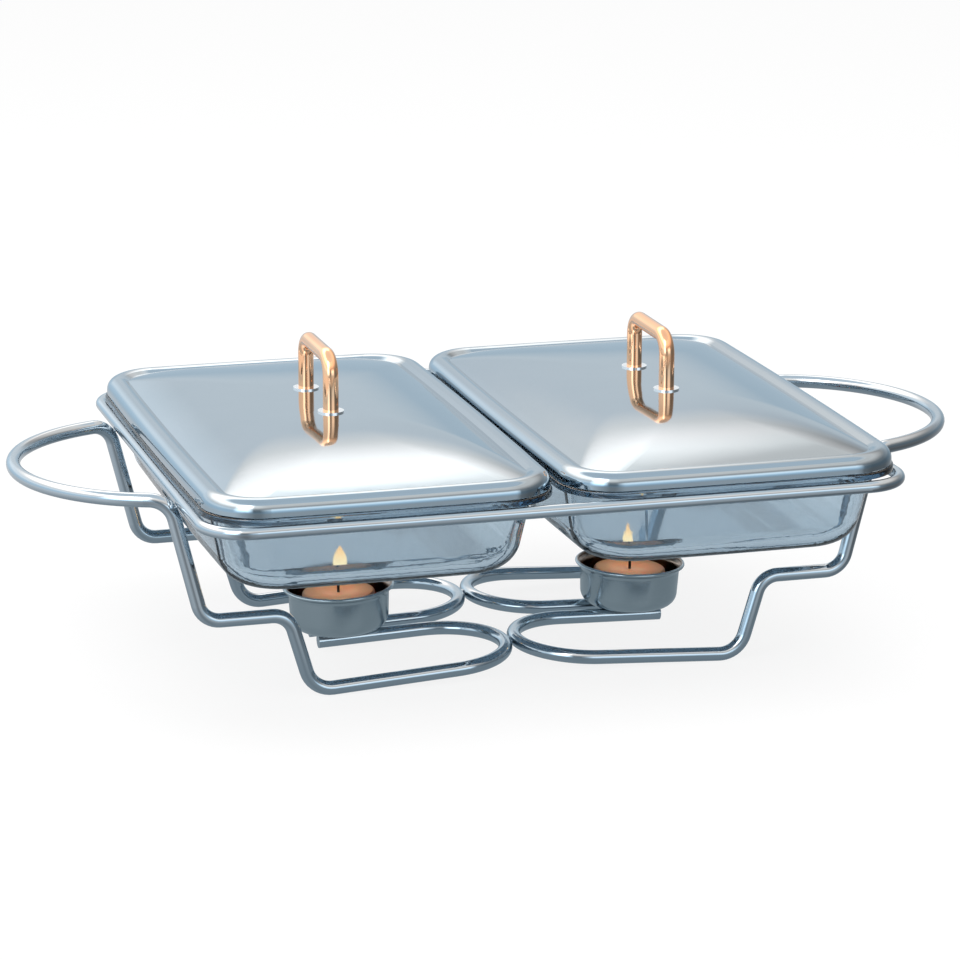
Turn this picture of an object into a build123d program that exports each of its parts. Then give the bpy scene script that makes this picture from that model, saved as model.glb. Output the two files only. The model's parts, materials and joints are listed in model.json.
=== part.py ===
from build123d import *
import os
from math import acos, atan2, cos, radians, sin, sqrt, tan

os.makedirs("parts", exist_ok=True)

# Twin buffet food warmer: two glass dishes with loose steel lids in a candle-heated wire stand.
# Millimetres and degrees. X runs along the stand, -Y is the front, +Z is up, the feet rest on Z = 0.

# Clearances and cuts
rest_gap = 0.3           # between a loose piece and what it rests on
weld_gap = 0.2           # between two rods that a weld joins
screw_clearance = 0.2    # round a screw in a plain hole, on the diameter
cut_overrun = 2.0        # how far a cut runs past the face that it opens

# Glass dishes
rim_half_width = 86.5    # outer edge of the rim, along X
rim_half_depth = 142.0   # outer edge of the rim, along Y
rim_thickness = 3.2
rim_overhang = 6.5       # rim beyond the wall under it
rim_edge_round = 1.2
rim_corner = 29.0
rim_spacing = 1.0        # between the rims of the two dishes
side_bow = 1.5           # how far the long and short sides bulge
dish_depth = 41.7        # underside to rim top
dish_draft = 11.5        # lean of the walls
dish_wall = 4.0
dish_floor = 4.5
dish_wall_corner = 33.0
dish_bottom_round = 15.0
dish_bottom_corner = 29.0

# Steel lids
lid_inset = 0.9          # lid edge inside the rim's edge
lid_sheet = 0.8
lid_corner = 28.0
bead_width = 11.0        # lid edge to the crease where the dome starts
bead_height = 8.1
bead_round = 6.2
bead_crown_inset = 7.6   # lid edge to the inner side of the bead's crown
bead_inner_round = 5.5   # where the crown turns down to the crease
crease_drop = 1.7        # crease below the crown of the bead
dome_height = 12.5       # top of the dome above the crease
dome_spread_shares = (1.0, 0.83, 0.58, 0.28, 0.0)   # from the crease to the flat under the handle
dome_rise_shares = (0.0, 0.4, 0.76, 0.96, 1.0)
dome_round_share = 0.8   # corners of the dome's upper sections, of their half width

# Lid handles and their fasteners
handle_rod = 7.8
handle_half_span = 25.4
handle_height = 29.8     # foot to the top of the bow
handle_bend = 9.0        # on the rod's centreline
washer_diameter = 13.0
washer_thickness = 0.7
inner_washer_diameter = 11.0
inner_washer_thickness = 1.0
seat_margin = 2.0        # flat of the dome beyond the washers
screw_diameter = 4.0
screw_bite = 7.0         # thread inside the handle's foot
bore_spare = 1.5         # tapped hole beyond the screw's end
screw_head_diameter = 8.0
screw_head_height = 2.6
screw_head_round = 1.2

# Stand rods
ring_rod = 6.0
ring_corner = 22.0
ring_height = 103.2      # centreline
rim_end_seat = 3.0       # rim over the ring's end bars
rim_side_seat = 4.0      # rim over the ring's long bars
leg_rod = 7.0
leg_half_span = 76.0     # legs and runners from the middle, along Y
leg_lean = 13.9          # upper leg from the vertical
shin_lean = 16.3         # lower leg from the vertical
base_tilt = 3.4          # the runners rise from the feet to the middle
foot_x = 109.8           # corner of the lower leg and the runner
step_height = 42.4
foot_bend = 13.0
step_bend = 11.0
shoulder_bend = 12.0
loop_height = 103.7      # end handles, centreline
loop_reach = 239.5
loop_lead = 12.0         # from the leg's corner to the start of the end handle's arc
tongue_half_span = 9.5
tongue_reach = 90.5
tongue_tilt = 2.0        # the tongues rise less steeply than the runners
turn_flat = 0.2          # straight left between the two bends of a U-turn

# Candle cups
cup_x = 76.6
cup_height = 21.8
cup_sheet = 0.8
cup_base_radius = 24.6
cup_wall_radius = 25.6
cup_lip_radius = 28.2
cup_lip_depth = 2.4      # flared part of the wall
cup_edge_round = 7.0
cup_lip_round = 2.2
cup_roll_radius = 0.9    # rolled edge of the lip

# Candles
wax_diameter = 37.0
wax_height = 18.0
wax_edge_round = 0.9
wick_diameter = 1.4
wick_stand = 7.0         # wick above the wax
wick_lean = 1.2          # top of the wick off the axis
wick_straight_share = 0.45
wick_bend = 6.0
tab_diameter = 12.0
tab_thickness = 0.4
tab_neck_diameter = 3.0
tab_neck_height = 3.0
tab_clearance = 0.2

# Places worked out from the sizes above
dish_pitch = 2 * rim_half_width + rim_spacing
ring_half_length = dish_pitch / 2 + rim_half_width - rim_end_seat + ring_rod / 2
ring_half_depth = rim_half_depth - rim_side_seat + ring_rod / 2
rim_underside = ring_height + ring_rod / 2 + rest_gap
rim_top = rim_underside + rim_thickness
dish_underside = rim_top - dish_depth
lid_edge = rim_top + rest_gap
bead_crown = lid_edge + bead_height
crease_height = bead_crown - crease_drop
dome_top = crease_height + dome_height
handle_foot = dome_top + washer_thickness
sides = {"left": -1, "right": 1}


def tray_outline(half_width, half_depth, corner):
    """A rounded rectangle whose four sides bulge outward a little."""
    east = half_width - side_bow
    north = half_depth - side_bow
    with BuildSketch() as outline:
        with BuildLine():
            ThreePointArc((east, -north), (half_width, 0), (east, north))
            ThreePointArc((east, north), (0, half_depth), (-east, north))
            ThreePointArc((-east, north), (-half_width, 0), (-east, -north))
            ThreePointArc((-east, -north), (0, -half_depth), (east, -north))
        make_face()
        fillet(outline.vertices(), corner)
    return outline.sketch


# Top ring: one closed rod that both dishes hang in
with BuildSketch(Plane.XY.offset(ring_height)) as ring_plan:
    RectangleRounded(2 * ring_half_length, 2 * ring_half_depth, ring_corner)
ring_path = ring_plan.sketch.wire()
with BuildPart() as top_ring:
    with BuildSketch(Plane(origin=ring_path @ 0, z_dir=ring_path % 0)):
        Circle(ring_rod / 2)
    sweep(path=ring_path)
top_ring.part.label = "top_ring"
export_step(top_ring.part, "parts/top_ring.step")

# The base wires rise from the feet to the middle of the stand.
foot_turn = 90 - shin_lean + base_tilt
foot_tangent = foot_bend * tan(radians(foot_turn / 2))
foot_sag = foot_bend * (1 - cos(radians(base_tilt)))
turn_x = leg_rod / 2 + weld_gap / 2
foot_height = leg_rod / 2 - foot_tangent * sin(radians(base_tilt)) + foot_sag


def base_height(x):
    """Height of a runner's centreline at a distance x from the middle of the stand."""
    return foot_height + (foot_x - x) * tan(radians(base_tilt))


def tongue_height(x):
    """Height of a tongue's centreline at a distance x from the middle of the stand."""
    return base_height(turn_x) - (x - turn_x) * tan(radians(tongue_tilt))


# The bend at the top of each leg touches the outside of the ring's end bar.
shoulder_turn = 90 - leg_lean
weld_distance = shoulder_bend + leg_rod / 2 + ring_rod / 2 + weld_gap
weld_rise = shoulder_bend - (loop_height - ring_height)
shoulder_tangent = shoulder_bend * tan(radians(shoulder_turn / 2))
shoulder_x = ring_half_length + sqrt(weld_distance**2 - weld_rise**2) - shoulder_tangent
step_outer_x = shoulder_x - (loop_height - step_height) * tan(radians(leg_lean))
step_inner_x = foot_x + (step_height - foot_height) * tan(radians(shin_lean))

# The end handle is an arc that meets the straight leads from both shoulders.
loop_span = loop_reach - shoulder_x
loop_radius = (loop_span**2 + leg_half_span**2 - loop_lead**2) / (2 * loop_span)
loop_centre = loop_reach - loop_radius
shoulder_distance = sqrt(loop_radius**2 + loop_lead**2)
shoulder_angle = atan2(leg_half_span, shoulder_x - loop_centre)
loop_start_angle = shoulder_angle - acos(loop_radius / shoulder_distance)
loop_start_x = loop_centre + loop_radius * cos(loop_start_angle)
loop_start_y = loop_radius * sin(loop_start_angle)
turn_bend = (leg_half_span - tongue_half_span - turn_flat) / 2


def leg_route(side, face):
    """Corners of one half of a leg wire, from the tongue's end to the start of the end handle.

    side is -1 for the left end and 1 for the right, face is -1 for the front half and 1 for the rear.
    """
    return [
        (side * tongue_reach, face * tongue_half_span, tongue_height(tongue_reach)),
        (side * turn_x, face * tongue_half_span, base_height(turn_x)),
        (side * turn_x, face * leg_half_span, base_height(turn_x)),
        (side * foot_x, face * leg_half_span, foot_height),
        (side * step_inner_x, face * leg_half_span, step_height),
        (side * step_outer_x, face * leg_half_span, step_height),
        (side * shoulder_x, face * leg_half_span, loop_height),
        (side * loop_start_x, face * loop_start_y, loop_height),
    ]


leg_bends = [turn_bend, turn_bend, foot_bend, step_bend, step_bend, shoulder_bend]

# Leg wires: each end of the stand is one unbroken rod
for end, side in sides.items():
    front_route = leg_route(side, -1)
    rear_route = leg_route(side, 1)[::-1]
    with BuildPart() as leg_wire:
        with BuildLine() as rod_path:
            FilletPolyline(*front_route, radius=leg_bends)
            ThreePointArc(front_route[-1], (side * loop_reach, 0, loop_height), rear_route[0])
            FilletPolyline(*rear_route, radius=leg_bends[::-1])
        tongue_way = Vector(*front_route[1]) - Vector(*front_route[0])
        with BuildSketch(Plane(origin=front_route[0], z_dir=tongue_way)):
            Circle(leg_rod / 2)
        sweep()
    leg_wire.part.label = f"{end}_leg_wire"
    export_step(leg_wire.part, f"parts/{end}_leg_wire.step")


def cup_plane(side, rise):
    """Upright plane through a cup's axis, rise above the tongues: its Y axis is the cup's axis."""
    tilt = radians(-side * tongue_tilt)
    along = Vector(cos(tilt), 0, sin(tilt))
    up = Vector(-sin(tilt), 0, cos(tilt))
    base = Vector(side * cup_x, 0, tongue_height(cup_x))
    return Plane(origin=base + up * (leg_rod / 2 + rise), x_dir=along, z_dir=(0, -1, 0))


def cup_axis(side):
    """The axis that a cup and its candle are turned about."""
    plane = cup_plane(side, 0)
    return Axis(plane.origin, plane.y_dir)


def tilted_floor(side, rise):
    """Plane square to a cup's axis, at a height above the tongues."""
    plane = cup_plane(side, rise)
    return Plane(origin=plane.origin, x_dir=plane.x_dir, z_dir=plane.y_dir)


# Candle cups: spun steel with a rounded bottom edge and a flared lip, welded on the tongues
for end, side in sides.items():
    with BuildPart() as candle_cup:
        with BuildSketch(cup_plane(side, 0)):
            with BuildLine():
                outside = FilletPolyline(
                    (0, 0),
                    (cup_base_radius, 0),
                    (cup_wall_radius, cup_height - cup_lip_depth),
                    (cup_lip_radius, cup_height),
                    radius=[cup_edge_round, cup_lip_round],
                )
                inside = FilletPolyline(
                    (0, cup_sheet),
                    (cup_base_radius - cup_sheet, cup_sheet),
                    (cup_wall_radius - cup_sheet, cup_height - cup_lip_depth),
                    (cup_lip_radius - cup_sheet, cup_height),
                    radius=[cup_edge_round - cup_sheet, cup_lip_round + cup_sheet],
                )
                Line(outside @ 0, inside @ 0)
                Line(outside @ 1, inside @ 1)
            make_face()
            with Locations((cup_lip_radius - cup_roll_radius, cup_height)):
                Circle(cup_roll_radius)
        revolve(axis=cup_axis(side))
    candle_cup.part.label = f"{end}_candle_cup"
    export_step(candle_cup.part, f"parts/{end}_candle_cup.step")

# Dishes: pressed glass with leaning walls, a rounded bottom edge and a flat rim that sits on the ring
wall_half_width = rim_half_width - rim_overhang
wall_half_depth = rim_half_depth - rim_overhang
floor_inset = (dish_depth - rim_thickness) * tan(radians(dish_draft))
mouth_inset = dish_wall / cos(radians(dish_draft)) - (rim_thickness + cut_overrun) * tan(radians(dish_draft))
cavity_inset = dish_wall / cos(radians(dish_draft)) - dish_floor * tan(radians(dish_draft))
for end, side in sides.items():
    centre_x = side * dish_pitch / 2
    with BuildPart() as cavity:
        with BuildSketch(Plane((centre_x, 0, dish_underside + dish_floor))):
            inset = floor_inset + cavity_inset
            corner = dish_bottom_corner - dish_wall
            add(tray_outline(wall_half_width - inset, wall_half_depth - inset, corner))
        with BuildSketch(Plane((centre_x, 0, rim_top + cut_overrun))):
            corner = dish_wall_corner - dish_wall
            add(tray_outline(wall_half_width - mouth_inset, wall_half_depth - mouth_inset, corner))
        loft(ruled=True)
        fillet(cavity.faces().sort_by(Axis.Z)[0].edges(), dish_bottom_round - dish_wall)
    with BuildPart() as dish:
        with BuildSketch(Plane((centre_x, 0, dish_underside))):
            inset = floor_inset
            add(tray_outline(wall_half_width - inset, wall_half_depth - inset, dish_bottom_corner))
        with BuildSketch(Plane((centre_x, 0, rim_underside))):
            add(tray_outline(wall_half_width, wall_half_depth, dish_wall_corner))
        loft(ruled=True)
        fillet(dish.faces().sort_by(Axis.Z)[0].edges(), dish_bottom_round)
        with BuildSketch(Plane((centre_x, 0, rim_underside))):
            add(tray_outline(rim_half_width, rim_half_depth, rim_corner))
        extrude(amount=rim_thickness)
        fillet(dish.faces().sort_by(Axis.Z)[-1].edges(), rim_edge_round)
        add(cavity.part, mode=Mode.SUBTRACT)
    dish.part.label = f"{end}_dish"
    export_step(dish.part, f"parts/{end}_dish.step")

# Lids: pressed sheet with a rounded bead along the edge, a crease and a shallow pillow dome
lid_half_width = rim_half_width - lid_inset
lid_half_depth = rim_half_depth - lid_inset
seat_half_width = washer_diameter / 2 + seat_margin
seat_half_depth = handle_half_span + seat_half_width


def lid_form(centre_x, sheet):
    """Solid under a lid's skin: the outside when sheet is 0, the hollow when it is the sheet's thickness."""
    half_width = lid_half_width - sheet
    half_depth = lid_half_depth - sheet
    foot = lid_edge - (cut_overrun if sheet else 0)
    crown = bead_crown - sheet
    crease = crease_height - sheet
    crown_inset = bead_crown_inset - sheet
    crease_inset = bead_width - sheet
    dome_half_width = lid_half_width - bead_width
    dome_half_depth = lid_half_depth - bead_width
    dome_corner = lid_corner - bead_width
    with BuildPart() as form:
        with BuildSketch(Plane((centre_x, 0, foot))):
            add(tray_outline(half_width, half_depth, lid_corner - sheet))
        extrude(amount=crown - foot)
        fillet(form.faces().sort_by(Axis.Z)[-1].edges(), bead_round - sheet)
        with BuildSketch(Plane((centre_x, 0, crease))):
            add(tray_outline(half_width - crease_inset, half_depth - crease_inset, dome_corner))
        with BuildSketch(Plane((centre_x, 0, crown))):
            crown_corner = lid_corner - bead_crown_inset
            add(tray_outline(half_width - crown_inset, half_depth - crown_inset, crown_corner))
        loft(ruled=True, mode=Mode.SUBTRACT)
        crown_face = form.faces().filter_by(GeomType.PLANE).sort_by(Axis.Z)[-1]
        fillet(crown_face.inner_wires().edges(), bead_inner_round - sheet)
        for spread_share, rise_share in zip(dome_spread_shares, dome_rise_shares):
            with BuildSketch(Plane((centre_x, 0, crease + dome_height * rise_share))):
                section_half_width = seat_half_width + (dome_half_width - seat_half_width) * spread_share
                section_half_depth = seat_half_depth + (dome_half_depth - seat_half_depth) * spread_share
                upper_corner = dome_round_share * section_half_width
                section_corner = upper_corner + (dome_corner - upper_corner) * spread_share
                add(tray_outline(section_half_width, section_half_depth, section_corner))
        loft()
    return form.part


for end, side in sides.items():
    centre_x = side * dish_pitch / 2
    with BuildPart() as lid_shell:
        add(lid_form(centre_x, 0))
        add(lid_form(centre_x, lid_sheet), mode=Mode.SUBTRACT)
        with Locations((centre_x, -handle_half_span, dome_top), (centre_x, handle_half_span, dome_top)):
            Hole((screw_diameter + screw_clearance) / 2, depth=lid_sheet + cut_overrun)
    lid_shell.part.label = f"{end}_lid_shell"
    export_step(lid_shell.part, f"parts/{end}_lid_shell.step")

# Lid handles: a bow of bent rod with a tapped hole in each foot
for end, side in sides.items():
    centre_x = side * dish_pitch / 2
    bow_top = handle_foot + handle_height - handle_rod / 2
    with BuildPart() as lid_handle:
        with BuildLine():
            FilletPolyline(
                (centre_x, -handle_half_span, handle_foot),
                (centre_x, -handle_half_span, bow_top),
                (centre_x, handle_half_span, bow_top),
                (centre_x, handle_half_span, handle_foot),
                radius=handle_bend,
            )
        with BuildSketch(Plane((centre_x, -handle_half_span, handle_foot))):
            Circle(handle_rod / 2)
        sweep()
        with BuildSketch(Plane((centre_x, 0, handle_foot))):
            with Locations((0, -handle_half_span), (0, handle_half_span)):
                Circle((screw_diameter + screw_clearance) / 2)
        extrude(amount=screw_bite + bore_spare, mode=Mode.SUBTRACT)
    lid_handle.part.label = f"{end}_lid_handle"
    export_step(lid_handle.part, f"parts/{end}_lid_handle.step")

# Washers between the handle's feet and the lid
for end, side in sides.items():
    centre_x = side * dish_pitch / 2
    with BuildPart() as handle_washers:
        with BuildSketch(Plane((centre_x, 0, dome_top))):
            with Locations((0, -handle_half_span), (0, handle_half_span)):
                Circle(washer_diameter / 2)
                Circle((screw_diameter + screw_clearance) / 2, mode=Mode.SUBTRACT)
        extrude(amount=washer_thickness)
    handle_washers.part.label = f"{end}_handle_washers"
    export_step(handle_washers.part, f"parts/{end}_handle_washers.step")

# Washers under the screw heads, inside the lid
lid_ceiling = dome_top - lid_sheet
for end, side in sides.items():
    centre_x = side * dish_pitch / 2
    with BuildPart() as inner_washers:
        with BuildSketch(Plane((centre_x, 0, lid_ceiling - inner_washer_thickness))):
            with Locations((0, -handle_half_span), (0, handle_half_span)):
                Circle(inner_washer_diameter / 2)
                Circle((screw_diameter + screw_clearance) / 2, mode=Mode.SUBTRACT)
        extrude(amount=inner_washer_thickness)
    inner_washers.part.label = f"{end}_inner_washers"
    export_step(inner_washers.part, f"parts/{end}_inner_washers.step")

# Pan-head screws that hold the handle from inside the lid
head_top = lid_ceiling - inner_washer_thickness
for end, side in sides.items():
    centre_x = side * dish_pitch / 2
    with BuildPart() as handle_screws:
        with BuildSketch(Plane((centre_x, 0, head_top - screw_head_height))):
            with Locations((0, -handle_half_span), (0, handle_half_span)):
                Circle(screw_head_diameter / 2)
        extrude(amount=screw_head_height)
        fillet(handle_screws.edges().group_by(Axis.Z)[0], screw_head_round)
        with BuildSketch(Plane((centre_x, 0, head_top))):
            with Locations((0, -handle_half_span), (0, handle_half_span)):
                Circle(screw_diameter / 2)
        extrude(amount=handle_foot + screw_bite - head_top)
    handle_screws.part.label = f"{end}_handle_screws"
    export_step(handle_screws.part, f"parts/{end}_handle_screws.step")

# Candles: a bare wax disc with a wick held by a tin tab at its bottom
wax_base = cup_sheet + rest_gap
tab_pocket = tab_thickness + tab_clearance
neck_top = wax_base + tab_thickness + tab_neck_height
wax_top = wax_base + wax_height
wick_knee = wax_top + wick_stand * wick_straight_share
for end, side in sides.items():
    with BuildPart() as candle_wax:
        with BuildSketch(tilted_floor(side, wax_base)):
            Circle(wax_diameter / 2)
        extrude(amount=wax_height)
        fillet(candle_wax.edges(), wax_edge_round)
        with BuildSketch(tilted_floor(side, wax_base)):
            Circle((tab_diameter + tab_clearance) / 2)
        extrude(amount=tab_pocket, mode=Mode.SUBTRACT)
        with BuildSketch(tilted_floor(side, wax_base)):
            Circle((tab_neck_diameter + tab_clearance) / 2)
        extrude(amount=neck_top + tab_clearance - wax_base, mode=Mode.SUBTRACT)
        with BuildSketch(tilted_floor(side, wax_base)):
            Circle((wick_diameter + tab_clearance) / 2)
        extrude(amount=wax_height + cut_overrun, mode=Mode.SUBTRACT)
    candle_wax.part.label = f"{end}_candle_wax"
    export_step(candle_wax.part, f"parts/{end}_candle_wax.step")

    with BuildPart() as wick_tab:
        with BuildSketch(tilted_floor(side, wax_base)):
            Circle(tab_diameter / 2)
        extrude(amount=tab_thickness)
        with BuildSketch(tilted_floor(side, wax_base + tab_thickness)):
            Circle(tab_neck_diameter / 2)
        extrude(amount=tab_neck_height)
    wick_tab.part.label = f"{end}_wick_tab"
    export_step(wick_tab.part, f"parts/{end}_wick_tab.step")

    with BuildPart() as wick:
        with BuildLine(cup_plane(side, 0)):
            FilletPolyline(
                (0, neck_top),
                (0, wick_knee),
                (-side * wick_lean, wax_top + wick_stand),
                radius=wick_bend,
            )
        with BuildSketch(tilted_floor(side, neck_top)):
            Circle(wick_diameter / 2)
        sweep()
    wick.part.label = f"{end}_wick"
    export_step(wick.part, f"parts/{end}_wick.step")
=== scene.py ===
"""Dresses the candle-heated food warmer and lights it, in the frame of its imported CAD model."""
import json
import logging
import math
from abc import ABC, abstractmethod
from collections.abc import Callable, Sequence
from dataclasses import dataclass
from enum import Enum

import bpy
from mathutils import Matrix, Vector

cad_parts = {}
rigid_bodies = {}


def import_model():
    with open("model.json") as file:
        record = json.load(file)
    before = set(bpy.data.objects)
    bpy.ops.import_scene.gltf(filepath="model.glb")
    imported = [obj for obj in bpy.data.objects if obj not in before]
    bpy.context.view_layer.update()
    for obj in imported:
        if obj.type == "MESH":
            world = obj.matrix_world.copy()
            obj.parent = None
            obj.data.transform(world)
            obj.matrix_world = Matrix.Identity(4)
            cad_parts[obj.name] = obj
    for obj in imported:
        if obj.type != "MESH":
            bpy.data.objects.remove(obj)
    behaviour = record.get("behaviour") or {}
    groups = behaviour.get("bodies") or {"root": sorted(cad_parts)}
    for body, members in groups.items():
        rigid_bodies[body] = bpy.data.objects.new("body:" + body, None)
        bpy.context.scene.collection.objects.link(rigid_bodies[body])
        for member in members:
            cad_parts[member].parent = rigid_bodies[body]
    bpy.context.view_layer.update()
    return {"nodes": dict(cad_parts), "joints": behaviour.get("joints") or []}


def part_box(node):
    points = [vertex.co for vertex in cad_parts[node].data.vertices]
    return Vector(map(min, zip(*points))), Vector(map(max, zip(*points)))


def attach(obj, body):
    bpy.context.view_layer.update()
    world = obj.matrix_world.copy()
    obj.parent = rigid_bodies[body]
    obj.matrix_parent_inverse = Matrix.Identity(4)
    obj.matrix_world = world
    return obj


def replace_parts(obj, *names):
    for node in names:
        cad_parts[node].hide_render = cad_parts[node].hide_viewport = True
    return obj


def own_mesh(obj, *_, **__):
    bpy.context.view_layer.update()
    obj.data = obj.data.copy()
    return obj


for startup_object in list(bpy.data.objects):
    bpy.data.objects.remove(startup_object)
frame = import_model()
LOG = logging.getLogger("food_warmer")

MM = 0.001
QUARTER_TURN = 90.0
HALF_TURN = 180.0
FULL_TURN = 360.0
FLOAT = "NodeSocketFloat"
COLOUR = "NodeSocketColor"
VECTOR = "NodeSocketVector"
# Blender's numbers of the Mix node's colour sockets
MIX_SHARE, MIX_FIRST, MIX_SECOND, MIX_RESULT = 0, 6, 7, 2
Colour = tuple[float, float, float]
Point = tuple[float, float, float]
Profile = Sequence[tuple[float, float]]
BLACK: Colour = (0.0, 0.0, 0.0)
WHITE: Colour = (1.0, 1.0, 1.0)


class End(Enum):
    """The two ends of the stand, each with its dish, lid and candle."""

    LEFT = "left"
    RIGHT = "right"

    @property
    def sign(self) -> int:
        """The side of the middle plane along X."""
        return -1 if self is End.LEFT else 1

    def named(self, piece: str) -> str:
        """The name of this end's node, body or joint."""
        return f"{self.value}_{piece}"


class Face(Enum):
    """The two long sides of the stand, by their side of the middle plane along Y."""

    FRONT = -1
    REAR = 1

    def named(self, piece: str) -> str:
        """The name of a piece on this side."""
        return f"{self.name.lower()}_{piece}"


class Effect(Enum):
    """Surface effects that several finishes share."""

    HAZE = "polish_haze"
    DRIFT = "colour_drift"
    HAIRLINES = "hairlines"
    RIPPLE = "sheet_ripple"
    TURNED = "turned_place"


def opaque(colour: Colour) -> tuple[float, float, float, float]:
    """The colour with full alpha, as Blender's sockets take it."""
    return (*colour, 1.0)


@dataclass(frozen=True)
class NoiseGrain:
    """How much finer noise lies on a noise."""

    octaves: float
    strength: float


@dataclass
class NodeBench:
    """Adds nodes to one tree and wires them."""

    tree: bpy.types.NodeTree

    def add(
        self, kind: str, inputs: dict[str | int, object] | None = None, **settings: object
    ) -> bpy.types.Node:
        """Adds one node.

        Args:
            kind: Blender's name of the node type.
            inputs: Values for its inputs, by name or number; another node's output is linked.
            settings: The node's own options.

        Returns:
            The new node.
        """
        node = self.tree.nodes.new(kind)
        for option, value in settings.items():
            setattr(node, option, value)
        for socket, value in (inputs or {}).items():
            if isinstance(value, bpy.types.NodeSocket):
                self.link(value, node.inputs[socket])
            else:
                node.inputs[socket].default_value = value
        return node

    def link(self, source: bpy.types.NodeSocket, target: bpy.types.NodeSocket) -> None:
        """Wires an output to an input."""
        self.tree.links.new(source, target)

    def surface(self, shader: bpy.types.Node) -> None:
        """Makes a shader the material's surface."""
        self.link(shader.outputs[0], self.tree.nodes["Material Output"].inputs["Surface"])

    def math(self, operation: str, *values: object) -> bpy.types.NodeSocket:
        """The result of a Math node on numbers or other nodes' outputs."""
        return self.add("ShaderNodeMath", dict(enumerate(values)), operation=operation).outputs[0]

    def vector(self, operation: str, *values: object) -> bpy.types.Node:
        """A Vector Math node on vectors or other nodes' outputs."""
        return self.add("ShaderNodeVectorMath", dict(enumerate(values)), operation=operation)

    def noise(self, place: bpy.types.NodeSocket, scale: object, grain: NoiseGrain) -> bpy.types.NodeSocket:
        """The value of a noise, near 0.5, over a place."""
        inputs = {"Vector": place, "Scale": scale, "Detail": grain.octaves, "Roughness": grain.strength}
        return self.add("ShaderNodeTexNoise", inputs).outputs[0]

    def share(self, value: object, low: float, high: float) -> bpy.types.NodeSocket:
        """How far a value lies on the way from low to high, from 0 to 1."""
        inputs = {"Value": value, "From Min": low, "From Max": high}
        return self.add("ShaderNodeMapRange", inputs).outputs["Result"]

    def between(self, share: object, low: object, high: object) -> bpy.types.NodeSocket:
        """The value at a share of the way from low to high."""
        inputs = {"Value": share, "To Min": low, "To Max": high}
        return self.add("ShaderNodeMapRange", inputs).outputs["Result"]

    def mix(self, share: object, first: object, second: object) -> bpy.types.NodeSocket:
        """A colour between two others.

        Args:
            share: How far towards the second colour.
            first: A colour or an output.
            second: A colour or an output.

        Returns:
            The mixed colour's output.
        """
        inputs: dict[str | int, object] = {MIX_SHARE: share}
        for number, value in ((MIX_FIRST, first), (MIX_SECOND, second)):
            inputs[number] = value if isinstance(value, bpy.types.NodeSocket) else opaque(value)
        return self.add("ShaderNodeMix", inputs, data_type="RGBA").outputs[MIX_RESULT]

    def effect(self, effect: Effect, inputs: dict[str | int, object] | None = None) -> bpy.types.Node:
        """Places a shared effect's node group in this tree with its own values."""
        return self.add("ShaderNodeGroup", inputs, node_tree=EffectShop.group(effect))


def bare_material(name: str) -> tuple[bpy.types.Material, NodeBench]:
    """Makes a material with Blender's own first nodes.

    Args:
        name: The material's name.

    Returns:
        The material and a bench for its tree.
    """
    made = bpy.data.materials.new(name)
    made.use_nodes = True
    return made, NodeBench(made.node_tree)


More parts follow.
